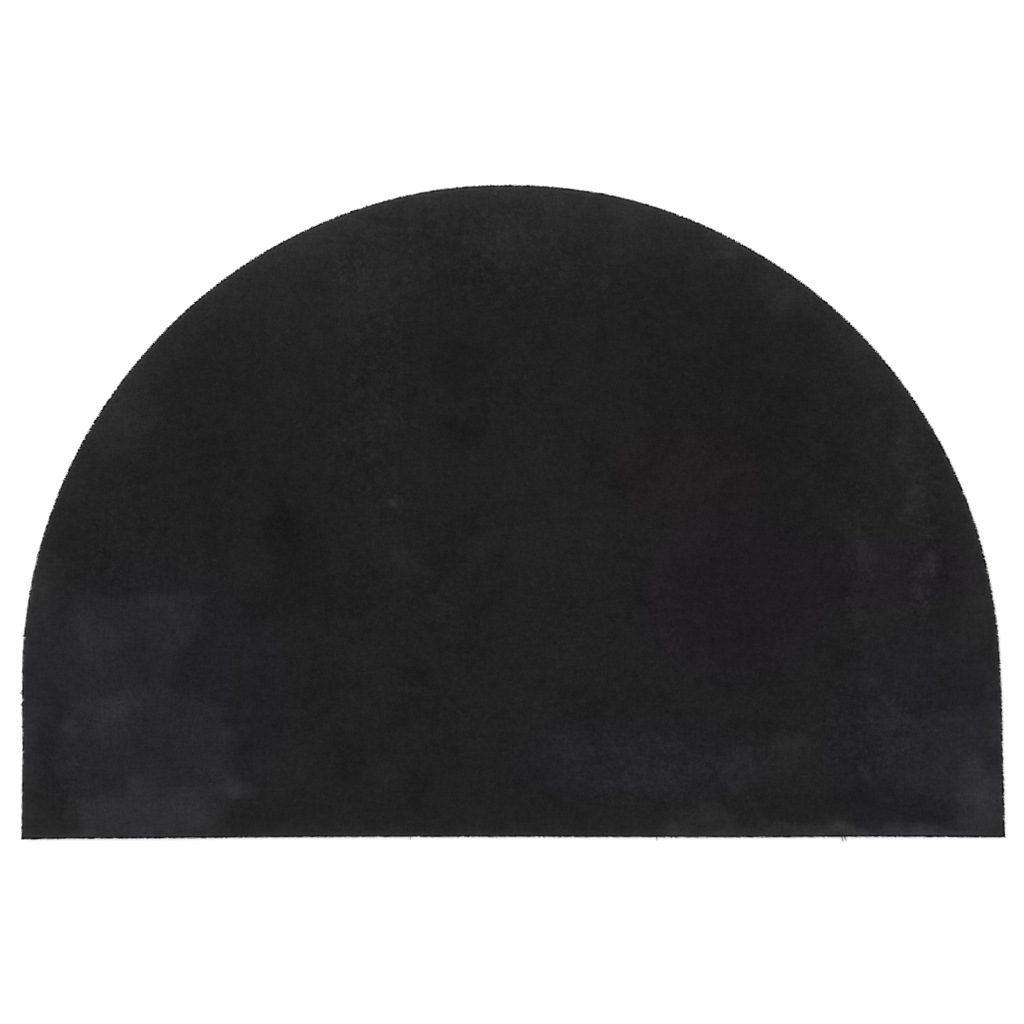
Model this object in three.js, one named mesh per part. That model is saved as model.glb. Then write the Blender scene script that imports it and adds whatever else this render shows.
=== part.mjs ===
import * as THREE from 'three';
import { ParametricGeometry } from 'three/addons/geometries/ParametricGeometry.js';
import { mergeVertices } from 'three/addons/utils/BufferGeometryUtils.js';

// A half round doormat of tufted coir, dyed black, lying flat with its pile up.
// Millimetres, +Z up. +X runs along the straight edge, and +Y points to the crown of the arc.

// Driving dimensions
const WIDTH = 900; // corner to corner along the straight edge
const DEPTH = 597; // straight edge to the crown of the arc
const THICKNESS = 15; // fused base and pile together
const ARC_RADIUS = 446;
const ARC_SHIFT = -2.2; // the arc's centre, from the middle of the straight edge along X
const BASE = 2.4; // height of the fused base that holds the pile's roots

// The straight sides are tangent to the arc and lean out towards the corners.
const SIDE_HEIGHT = DEPTH - ARC_RADIUS;
const FLARE = {
  left: WIDTH / 2 - ARC_RADIUS + ARC_SHIFT,
  right: WIDTH / 2 - ARC_RADIUS - ARC_SHIFT,
};

// How the mat was cut. Each table says how far the cut strays outwards from the plain outline.
// A side's rows give shares of its height and of its flare.
const SIDE_BOW = [
  { up: 0.0, left: 1.0, right: 1.0 },
  { up: 0.23, left: 0.8, right: 0.9 },
  { up: 0.5, left: 0.45, right: 0.7 },
  { up: 0.83, left: 0.7, right: 0.55 },
  { up: 1.0, left: 0.6, right: 0.35 },
];
const STRAIGHT_SAG = [
  { across: -450, out: 2.0 },
  { across: -400, out: 1.4 },
  { across: -300, out: 1.0 },
  { across: -210, out: 0.1 },
  { across: 0, out: -0.2 },
  { across: 210, out: 0.3 },
  { across: 330, out: -0.4 },
  { across: 450, out: 0.2 },
];
const ARC_STRAY = [
  { bearing: 0, out: SIDE_BOW.at(-1).right * FLARE.right },
  { bearing: 10, out: 0.4 },
  { bearing: 40, out: -0.5 },
  { bearing: 60, out: -0.5 },
  { bearing: 75, out: 0.5 },
  { bearing: 90, out: 0.1 },
  { bearing: 100, out: 1.1 },
  { bearing: 120, out: 0.1 },
  { bearing: 140, out: -1.2 },
  { bearing: 160, out: -0.5 },
  { bearing: 170, out: 0.4 },
  { bearing: 180, out: SIDE_BOW.at(-1).left * FLARE.left },
];

// The rim from the underside up: a cut base, fibres that splay past it, and a worn shoulder.
const RIM = [
  { inset: 1.6, height: 0 },
  { inset: 1.0, height: 0.25 * BASE },
  { inset: 1.0, height: BASE },
  { inset: 0.2, height: 0.35 * THICKNESS },
  { inset: 0.0, height: 0.7 * THICKNESS },
  { inset: 0.5, height: 0.87 * THICKNESS },
  { inset: 1.8, height: 0.95 * THICKNESS },
  { inset: 4.5, height: 0.985 * THICKNESS },
];
// Rings across the top, as shares of the way from the middle to the shoulder.
const TOP_RINGS = [0.96, 0.88, 0.78, 0.68, 0.57, 0.46, 0.35, 0.24, 0.12, 0];
const TOP_HEIGHT = 0.975 * THICKNESS;
const MIDDLE = { x: 0, y: 0.46 * DEPTH };

// The trodden pile rises and dips a little. The waves run across X and Y with these lengths.
const NAP_WAVES = [
  { across: 330, along: 410, turn: 0.6, rise: 0.17 },
  { across: -190, along: 260, turn: 2.1, rise: 0.12 },
  { across: 120, along: -150, turn: 4.0, rise: 0.08 },
];

// Steps along the four edges, counterclockwise from the left corner.
const EDGES = [
  { at: straightPoint, steps: 20 },
  { at: rightPoint, steps: 6 },
  { at: arcPoint, steps: 84 },
  { at: leftPoint, steps: 6 },
];
const STATIONS = EDGES.reduce((sum, edge) => sum + edge.steps, 0);

/** Reads a column of a table between its rows. */
function reading(table, key, at, column) {
  const next = table.findIndex((row) => row[key] >= at);
  if (next < 0) return table.at(-1)[column];
  if (next === 0) return table[0][column];
  const [low, high] = [table[next - 1], table[next]];
  return THREE.MathUtils.mapLinear(at, low[key], high[key], low[column], high[column]);
}

function straightPoint(share, inset) {
  const reach = WIDTH / 2 - inset;
  const x = THREE.MathUtils.lerp(-reach, reach, share);
  return { x, y: inset - reading(STRAIGHT_SAG, 'across', x, 'out') };
}

function sidePoint(up, inset, side) {
  const corner = straightPoint(side === 'right' ? 1 : 0, inset);
  const out = ARC_RADIUS - inset + FLARE[side] * reading(SIDE_BOW, 'up', up, side);
  const x = ARC_SHIFT + (side === 'right' ? out : -out);
  return { x, y: THREE.MathUtils.lerp(corner.y, SIDE_HEIGHT, up) };
}

function rightPoint(share, inset) {
  return sidePoint(share, inset, 'right');
}

function leftPoint(share, inset) {
  return sidePoint(1 - share, inset, 'left');
}

function arcPoint(share, inset) {
  const bearing = 180 * share;
  const radius = ARC_RADIUS - inset + reading(ARC_STRAY, 'bearing', bearing, 'out');
  const angle = THREE.MathUtils.degToRad(bearing);
  return {
    x: ARC_SHIFT + radius * Math.cos(angle),
    y: SIDE_HEIGHT + radius * Math.sin(angle),
  };
}

/** The outline's point at a station, moved inwards by the inset. */
function outlinePoint(station, inset) {
  let left = station % STATIONS;
  for (const { at, steps } of EDGES) {
    if (left < steps) return at(left / steps, inset);
    left -= steps;
  }
  return straightPoint(0, inset);
}

/** How far the trodden pile stands above its mean height. */
function napRise(x, y) {
  const wave = ({ across, along, turn, rise }) =>
    rise * Math.sin(2 * Math.PI * (x / across + y / along) + turn);
  return NAP_WAVES.reduce((sum, row) => sum + wave(row), 0);
}

/** A point of the top, a share of the way from the middle to the shoulder. */
function topPoint(station, share) {
  const shoulder = outlinePoint(station, RIM.at(-1).inset);
  const x = MIDDLE.x + share * (shoulder.x - MIDDLE.x);
  const y = MIDDLE.y + share * (shoulder.y - MIDDLE.y);
  return { x, y, z: TOP_HEIGHT + napRise(x, y) };
}

function rimPoint(station, { inset, height }) {
  return { ...outlinePoint(station, inset), z: height };
}

// Rows of the skin, from the middle of the underside round the rim to the middle of the top.
const ROWS = [
  () => ({ ...MIDDLE, z: 0 }),
  ...RIM.map((row) => (station) => rimPoint(station, row)),
  ...TOP_RINGS.map((share) => (station) => topPoint(station, share)),
];

/** Drops the triangles that have shrunk to a line where a ring closes to a point. */
function withoutSlivers(geometry) {
  const index = Array.from(geometry.index.array);
  const kept = [];
  for (let i = 0; i < index.length; i += 3) {
    const [a, b, c] = index.slice(i, i + 3);
    if (a !== b && b !== c && c !== a) kept.push(a, b, c);
  }
  geometry.setIndex(kept);
  return geometry;
}

/** The closed skin of the mat, with its underside at height 0 and its box centred on the Z axis. */
function matGeometry() {
  const skin = (u, v, target) => {
    const station = Math.round(u * STATIONS);
    const row = ROWS[Math.round(v * (ROWS.length - 1))];
    const { x, y, z } = row(station);
    target.set(x, y, z);
  };
  const raw = new ParametricGeometry(skin, STATIONS, ROWS.length - 1);
  raw.deleteAttribute('normal');
  raw.deleteAttribute('uv');
  const geometry = withoutSlivers(mergeVertices(raw));
  geometry.computeBoundingBox();
  const middle = geometry.boundingBox.getCenter(new THREE.Vector3());
  geometry.translate(-middle.x, -middle.y, 0);
  geometry.computeVertexNormals();
  return geometry;
}

const coirBlack = new THREE.MeshStandardMaterial({
  color: '#242424',
  roughness: 0.95,
  metalness: 0,
});

const mat = new THREE.Mesh(matGeometry(), coirBlack);
mat.name = 'coir_mat';

const group = new THREE.Group();
group.add(mat);

export default group;
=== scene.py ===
"""Looks of a half round doormat: dyed coir pile, splayed cut rim and fused base, in metres."""

import itertools
import logging
import math
from abc import ABC, abstractmethod
from dataclasses import dataclass
from enum import Enum
from typing import Iterable, Sequence

import bmesh
import bpy
import numpy as np
from mathutils import Matrix, Vector
from mathutils.bvhtree import BVHTree


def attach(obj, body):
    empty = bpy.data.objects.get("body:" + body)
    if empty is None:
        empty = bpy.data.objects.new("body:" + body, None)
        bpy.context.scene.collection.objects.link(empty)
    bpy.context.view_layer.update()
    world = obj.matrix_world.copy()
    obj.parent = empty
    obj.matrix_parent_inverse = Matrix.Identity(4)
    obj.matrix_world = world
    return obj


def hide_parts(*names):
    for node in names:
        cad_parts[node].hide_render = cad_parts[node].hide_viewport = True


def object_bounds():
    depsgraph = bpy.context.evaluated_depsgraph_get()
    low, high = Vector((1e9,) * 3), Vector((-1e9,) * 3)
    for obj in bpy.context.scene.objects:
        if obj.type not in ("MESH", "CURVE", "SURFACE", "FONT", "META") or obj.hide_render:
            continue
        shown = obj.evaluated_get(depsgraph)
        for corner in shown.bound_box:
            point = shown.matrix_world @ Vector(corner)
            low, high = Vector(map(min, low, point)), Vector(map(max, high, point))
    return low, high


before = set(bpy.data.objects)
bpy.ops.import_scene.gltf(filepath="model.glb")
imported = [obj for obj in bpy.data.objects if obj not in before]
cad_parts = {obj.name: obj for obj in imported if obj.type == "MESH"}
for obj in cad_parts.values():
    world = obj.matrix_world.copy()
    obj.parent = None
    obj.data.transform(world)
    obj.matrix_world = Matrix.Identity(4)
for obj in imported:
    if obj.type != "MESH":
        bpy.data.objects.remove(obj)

CAD_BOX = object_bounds()
CAD_NODE = "coir_mat"
BODY = "root"
BAKE_MAP = "OFBake"
MM = 0.001
CUT_LEVEL = 10.5 * MM
WELD = 1e-6
STRAIGHT_FACES = -0.9

log = logging.getLogger("doormat")


def linked(name: str, data: bpy.types.ID) -> bpy.types.Object:
    """Puts data into the scene as a new object.

    Args:
        name: The object's name.
        data: Its mesh, lamp or camera.

    Returns:
        The new object, at the origin.
    """
    made = bpy.data.objects.new(name, data)
    bpy.context.scene.collection.objects.link(made)
    return made


@dataclass(frozen=True)
class RimBand:
    """The painted highlight that a cut edge carries: a paler band where the fibres splay and
    catch the light on their sides.

    Args:
        near: How fast its bright shoulder fades inwards, in metres.
        far: How far its faint part reaches, in metres.
        shoulder: The share of the shoulder in the whole.
        strength: The whole's strength at the very edge.
        crown_gain: How much stronger the painted highlight is where the edge faces +Y.
        lip: The strength of the fine painted highlight line just inside the edge, on the
            shoulder.
        lip_depth: How far inside the edge that line runs.
        lip_width: The line's half width.
    """

    near: float
    far: float
    shoulder: float
    strength: float
    crown_gain: float = 0.0
    lip: float = 0.62
    lip_depth: float = 3.1 * MM
    lip_width: float = 0.8 * MM

    def share(self, depth: np.ndarray, outward: np.ndarray) -> np.ndarray:
        """How strong the band is at depths inside an edge that faces outward."""
        inside = depth.clip(0, None)
        shoulder = np.exp(-inside / self.near)
        faint = np.exp(-((inside / self.far) ** 1.5))
        gain = self.strength + self.crown_gain * outward[:, 1].clip(0, None) ** 2
        # Painted highlight: a fine pale line on the shoulder just inside the edge
        line = self.lip * np.exp(-(((inside - self.lip_depth) / self.lip_width) ** 2))
        return gain * (self.shoulder * shoulder + (1 - self.shoulder) * faint) + line


class Edge(Enum):
    """The cut edges, by the painted highlight band that each carries."""

    STRAIGHT = RimBand(near=5 * MM, far=17 * MM, shoulder=0.55, strength=0.36)
    CURVED = RimBand(near=5 * MM, far=28 * MM, shoulder=0.45, strength=0.33, crown_gain=0.6)

    @classmethod
    def share(cls, depth: np.ndarray, outward: np.ndarray) -> np.ndarray:
        """How pale the painted highlight of the nearest edge makes the pile.

        Args:
            depth: How far inside the outline each place lies.
            outward: The outward direction of its nearest edge.

        Returns:
            A share for each place, from 0 well inside to about 1 at the edge.
        """
        straight = outward[:, 1] < STRAIGHT_FACES
        bands = [band.value.share(depth, outward) for band in (cls.STRAIGHT, cls.CURVED)]
        return np.where(straight, *bands)


class Tone(Enum):
    """Where a patch goes: towards worn, pale and rough, or towards fresh dye and smooth."""

    WORN = 1
    DEEP = -1


# Outline and skin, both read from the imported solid


def merged_copy(node: bpy.types.Object) -> bmesh.types.BMesh:
    """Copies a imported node's loose triangles and welds them.

    Args:
        node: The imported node.

    Returns:
        A new bmesh in the frame's own coordinates.
    """
    bm = bmesh.new()
    bm.from_mesh(node.data)
    bm.transform(node.matrix_world)
    bmesh.ops.remove_doubles(bm, verts=bm.verts, dist=WELD)
    return bm


@dataclass(frozen=True)
class Outline:
    """A closed plan outline, counterclockwise seen from above."""

    points: np.ndarray

    @classmethod
    def cut_from(cls, node: bpy.types.Object, height: float) -> "Outline":
        """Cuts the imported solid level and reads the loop.

        Args:
            node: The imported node.
            height: The level of the cut, in metres.

        Returns:
            The outline at that height.
        """
        bm = merged_copy(node)
        everything = [*bm.verts, *bm.edges, *bm.faces]
        bmesh.ops.bisect_plane(
            bm,
            geom=everything,
            dist=1e-7,
            plane_co=(0, 0, height),
            plane_no=(0, 0, 1),
            clear_inner=True,
            clear_outer=True,
        )
        bmesh.ops.remove_doubles(bm, verts=bm.verts, dist=1e-5)
        start = bm.verts[:][0]
        loop, last, at = [start], None, start
        while True:
            onward = [e.other_vert(at) for e in at.link_edges if e.other_vert(at) is not last]
            last, at = at, onward[0]
            if at is start:
                break
            loop.append(at)
        points = np.array([v.co[:2] for v in loop])
        bm.free()
        cut = cls(points)
        return cut if cut.area > 0 else cls(points[::-1].copy())

    @property
    def area(self) -> float:
        """The area inside the outline, in square metres, or less than 0 if it runs clockwise."""
        ahead = np.roll(self.points, -1, axis=0)
        cross = self.points[:, 0] * ahead[:, 1] - self.points[:, 1] * ahead[:, 0]
        return float(cross.sum() / 2)

    def depth(self, places: np.ndarray) -> tuple[np.ndarray, np.ndarray]:
        """Measures how far places lie inside the outline.

        Args:
            places: Plan positions, one row each.

        Returns:
            The depth of each place, negative outside, and the outward direction there.
        """
        start = self.points
        run = np.roll(start, -1, axis=0) - start
        length2 = (run**2).sum(1)
        normal = np.stack([run[:, 1], -run[:, 0]], 1) / np.sqrt(length2)[:, None]
        depths, outwards = [], []
        for part in np.array_split(places, max(1, len(places) // 8000)):
            gap = part[:, None, :] - start[None]
            share = ((gap * run).sum(2) / length2).clip(0, 1)
            off = gap - share[:, :, None] * run
            far = (off**2).sum(2)
            near = far.argmin(1)
            pick = np.arange(len(part))
            side = (off[pick, near] * normal[near]).sum(1)
            depths.append(np.sqrt(far[pick, near]) * np.where(side > 0, -1, 1))
            outwards.append(normal[near])
        return np.concatenate(depths), np.concatenate(outwards)

    def walk(self, pitch: float) -> tuple[np.ndarray, np.ndarray]:
        """Steps along the outline.

        Args:
            pitch: The distance between steps, in metres.

        Returns:
            The places, and the outward direction at each.
        """
        closed = np.vstack([self.points, self.points[:1]])
        run = np.diff(closed, axis=0)
        length = np.sqrt((run**2).sum(1))
        gone = np.concatenate([[0], np.cumsum(length)])
        at = np.arange(0, gone[-1], pitch)
        edge = (np.searchsorted(gone, at, side="right") - 1).clip(0, len(run) - 1)
        share = (at - gone[edge]) / length[edge]
        places = closed[edge] + share[:, None] * run[edge]
        normal = np.stack([run[:, 1], -run[:, 0]], 1) / length[:, None]
        return places, normal[edge]


class Skin:
    """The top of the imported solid, as a height for each place."""

    def __init__(self, node: bpy.types.Object) -> None:
        """Builds the search tree from a welded copy of the node."""
        bm = merged_copy(node)
        self.tree = BVHTree.FromBMesh(bm)
        bm.free()

    def height(self, places: np.ndarray) -> np.ndarray:
        """Reads the top's height.

        Args:
            places: Plan positions, one row each.

        Returns:
            The height at each place, or 0 outside the mat.
        """
        down = Vector((0, 0, -1))
        found = [self.tree.ray_cast(Vector((x, y, 1)), down)[0] for x, y in places]
        return np.array([0.0 if hit is None else hit.z for hit in found])


# Where the pile is worn and where its dye is deep, with the painted highlight and painted shade
# of its edge


def swells(places: np.ndarray, size: float, seed: int) -> np.ndarray:
    """A smooth random field, which lets neighbouring fibres behave alike.

    Args:
        places: Plan positions, one row each.
        size: The width of its swells, in metres.
        seed: The start of its random draws.

    Returns:
        A number for each place, mostly from -1 to 1.
    """
    rng = np.random.default_rng(seed)
    total = np.zeros(len(places))
    waves, shortest, longest = 14, 1.2, 3.0
    for bearing, wave, phase in rng.random((waves, 3)):
        length = size * (shortest + (longest - shortest) * wave)
        angle = 2 * math.pi * bearing
        along = places @ np.array([math.cos(angle), math.sin(angle)])
        total += np.sin(along * (2 * math.pi / length) + 2 * math.pi * phase)
    return total / math.sqrt(waves)


@dataclass(frozen=True)
class Tufts:
    """Small irregular tufts, whose fibres stand alike and took the dye alike.

    Args:
        size: Their mean length along X and width along Y.
        seed: The start of their random draws.
        repeat: How many tufts pass along each axis before the draws repeat, beyond the mat.
    """

    size: tuple[float, float]
    seed: int
    repeat: int = 420

    def numbers(self, places: np.ndarray) -> np.ndarray:
        """Finds the tuft at each place and reads its own random numbers.

        Args:
            places: Plan positions, one row each.

        Returns:
            Four numbers from 0 to 1 for each place.
        """
        table = np.random.default_rng(self.seed).random((self.repeat, self.repeat, 6))
        grid = places / np.array(self.size)
        cell = np.floor(grid).astype(int)
        nearest = np.full(len(places), np.inf)
        own = np.zeros((len(places), 4))
        for step in itertools.product((-1, 0, 1), repeat=2):
            there = cell + step
            row = table[tuple((there % self.repeat).T)]
            away = ((there + row[:, :2] - grid) ** 2).sum(1)
            closer = away < nearest
            nearest = np.where(closer, away, nearest)
            own[closer] = row[closer, 2:]
        return own


@dataclass(frozen=True)
class Patch:
    """A rounded patch of the pile that is paler, darker or rougher than the rest.

    Args:
        centre: Its centre in plan, in millimetres.
        size: Its half length and half width, in millimetres.
        strength: How strong it is at its centre.
        turn: The turn of its length from +X, in degrees.
        square: 2 for an oval, and more for straighter sides.
        fade: The share of its radius over which it fades out.
        tone: Paler or rougher, or else darker or smoother.
    """

    centre: tuple[float, float]
    size: tuple[float, float]
    strength: float
    turn: float = 0.0
    square: float = 2.0
    fade: float = 1.0
    tone: Tone = Tone.WORN

    def lift(self, places: np.ndarray) -> np.ndarray:
        """How much the patch adds at each place."""
        turn = math.radians(self.turn)
        off = places / MM - np.array(self.centre)
        along = np.abs(off @ np.array([math.cos(turn), math.sin(turn)])) / self.size[0]
        across = np.abs(off @ np.array([-math.sin(turn), math.cos(turn)])) / self.size[1]
        reach = (along**self.square + across**self.square) ** (1 / self.square)
        rise = ((1 - reach) / self.fade).clip(0, 1)
        return rise * rise * (3 - 2 * rise) * self.strength * self.tone.value


def deep(
    centre: tuple[float, float],
    size: tuple[float, float],
    strength: float,
    turn: float = 0.0,
    square: float = 2.0,
) -> Patch:
    """A patch that is darker, or smoother, than the rest."""
    return Patch(centre, size, strength, turn, square, tone=Tone.DEEP)


# How strongly a patch shows, chosen for each
TRACE, FAINT, SOFT, MILD = 0.03, 0.06, 0.09, 0.12
CLEAR, STRONG, BRIGHT, BOLD = 0.16, 0.20, 0.30, 0.50

CROWN_PATCHES = (
    Patch((-149, 203), (102, 78), MILD, turn=20, square=2.5),
    Patch((6, 244), (174, 57), MILD, square=2.5),
    Patch((198, 232), (24, 7), STRONG, turn=-15),
    Patch((213, 240), (10, 8), MILD),
    Patch((249, 196), (42, 22), CLEAR, turn=-42),
    Patch((-350, 94), (73, 33), MILD, turn=62),
)
LOWER_LEFT_PATCHES = (
    Patch((-440, -222), (9, 70), MILD, square=3, fade=0.6),
    Patch((-362, -128), (60, 60), MILD, square=4.5, fade=0.25),
    Patch((-370, -174), (58, 24), FAINT, square=3),
    Patch((-382, -131), (24, 53), MILD, turn=5, square=2.5, fade=0.8),
    Patch((-299, -95), (20, 26), STRONG, turn=15, square=3, fade=0.5),
    Patch((-326, -85), (13, 11), MILD),
    Patch((-396, -95), (11, 14), FAINT),
    Patch((-335, -230), (88, 71), CLEAR, square=4, fade=0.3),
    Patch((-407, -199), (11, 16), BRIGHT),
    Patch((-257, -202), (16, 20), STRONG),
    Patch((-332, -278), (87, 37), STRONG, square=2.5, fade=0.7),
    Patch((-339, -251), (15, 12), CLEAR),
    Patch((-252, -254), (24, 13), BRIGHT),
    Patch((-392, -294), (20, 14), BRIGHT),
    Patch((-442, -293), (15, 9), CLEAR),
    Patch((-246, -121), (42, 48), FAINT, square=3, fade=0.8),
    Patch((-213, -238), (55, 38), SOFT),
    Patch((-433, -117), (20, 119), MILD, square=3, fade=0.8),
)
LOWER_RIGHT_PATCHES = (
    Patch((285, -290), (125, 9), STRONG, square=3, fade=0.6),
    Patch((381, -222), (70, 57), CLEAR, square=3, fade=0.6),
    Patch((428, -266), (34, 52), BOLD),
    Patch((414, -216), (25, 18), TRACE, turn=-45),
    Patch((438, -195), (13, 40), MILD),
    Patch((381, -300), (60, 18), BOLD, square=2.5),
    Patch((303, -295), (35, 13), BRIGHT),
    Patch((148, -290), (26, 11), BRIGHT, turn=15),
    Patch((192, -297), (24, 10), STRONG),
    Patch((173, -278), (42, 15), STRONG),
    Patch((325, -240), (8, 11), BRIGHT),
    Patch((398, -237), (13, 16), TRACE),
    Patch((253, -211), (26, 14), MILD, turn=10),
    Patch((171, -231), (183, 38), SOFT, square=3, fade=0.6),
    Patch((125, -241), (51, 18), SOFT, turn=-8),
    Patch((194, -233), (42, 21), SOFT),
    Patch((43, -246), (23, 13), FAINT),
    Patch((52, -210), (24, 31), SOFT),
    Patch((90, -199), (8, 11), STRONG),
)
RIGHT_STREAKS = (
    Patch((345, -44), (49, 174), FAINT, square=4, fade=0.4),
    Patch((304, -2), (10, 14), MILD),
    Patch((317, -40), (19, 18), MILD),
    Patch((323, -117), (8, 26), FAINT),
    Patch((331, -154), (12, 14), CLEAR),
    Patch((347, -186), (19, 17), SOFT),
    Patch((357, 64), (10, 40), STRONG),
    Patch((367, 8), (13, 31), STRONG, square=3, fade=0.8),
    Patch((378, -59), (10, 40), BRIGHT),
    Patch((388, -122), (7, 22), SOFT, turn=-25),
    Patch((418, -108), (24, 82), SOFT, square=2.5),
)
MIDDLE_PATCHES = (
    Patch((-142, 111), (11, 9), FAINT),
    Patch((-122, 66), (20, 38), FAINT),
    Patch((-110, 34), (16, 13), MILD),
    Patch((-111, 8), (8, 8), STRONG),
    Patch((-114, -22), (22, 9), TRACE, turn=-70),
    Patch((-104, -42), (20, 15), MILD),
    Patch((-84, -55), (13, 10), STRONG),
    Patch((-75, -80), (26, 7), FAINT, turn=-62),
    Patch((-26, -35), (13, 24), SOFT),
    Patch((16, -7), (48, 57), TRACE, square=3, fade=0.6),
    Patch((29, 52), (21, 14), TRACE),
    Patch((188, 39), (23, 11), FAINT, turn=-10),
    Patch((-189, -181), (26, 8), SOFT, turn=5),
    Patch((-117, -241), (27, 15), MILD),
)
DEEP_PATCHES = (
    deep((207, 75), (150, 130), TRACE),
    deep((189, -80), (119, 90), TRACE),
    deep((83, 153), (13, 31), SOFT),
    deep((96, 23), (15, 19), FAINT),
    deep((57, -26), (14, 8), FAINT),
    deep((123, -77), (14, 49), SOFT, turn=8),
    deep((-53, 137), (37, 48), SOFT, square=2.5),
    deep((-41, 75), (31, 25), SOFT),
    deep((-197, -44), (48, 102), SOFT, square=2.5),
    deep((-216, -16), (20, 49), FAINT),
    deep((-221, 50), (10, 12), FAINT),
    deep((-277, 20), (91, 91), TRACE),
    deep((-238, -86), (20, 27), FAINT),
    deep((-90, -146), (27, 16), MILD),
    deep((-167, -213), (23, 23), TRACE),
    deep((134, -192), (14, 9), FAINT),
    deep((308, -126), (16, 27), FAINT),
)
ROUGH_PATCHES = (
    Patch((-49, 249), (165, 71), 0.75, square=3, fade=0.6),
    Patch((-147, 222), (26, 50), 1.0),
    Patch((-129, 103), (50, 137), 0.75, turn=-15, fade=0.8),
    Patch((-108, 11), (22, 29), 1.6),
    Patch((-69, -78), (20, 35), 0.9),
    Patch((-38, -34), (22, 22), 0.5),
    Patch((79, 208), (41, 29), 0.6),
    Patch((189, 235), (26, 20), 0.9),
    Patch((284, 177), (26, 22), 0.8),
    Patch((19, 121), (31, 26), 0.5),
    Patch((374, -30), (20, 128), 1.3, square=3, fade=0.6),
    Patch((313, -44), (20, 110), 0.9, square=3, fade=0.6),
    Patch((340, -199), (87, 62), 0.8, square=3, fade=0.6),
    Patch((427, -263), (44, 51), 0.9),
    Patch((150, -237), (150, 52), 0.75, square=2.5, fade=0.8),
    Patch((0, -130), (260, 150), 0.14, square=3, fade=0.6),
    Patch((-350, -30), (70, 90), 0.5),
    Patch((-407, -240), (29, 51), 0.7),
    Patch((340, 84), (37, 55), 0.6),
    deep((224, -1), (66, 115), 0.3),
    deep((-202, -71), (56, 76), 0.25),
    deep((-52, -240), (52, 52), 0.25),
    deep((-15, -85), (38, 40), 0.3),
    deep((-44, 135), (26, 42), 0.3),
    deep((83, 135), (52, 40), 0.25),
    deep((228, 177), (52, 36), 0.3),
)


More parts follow.
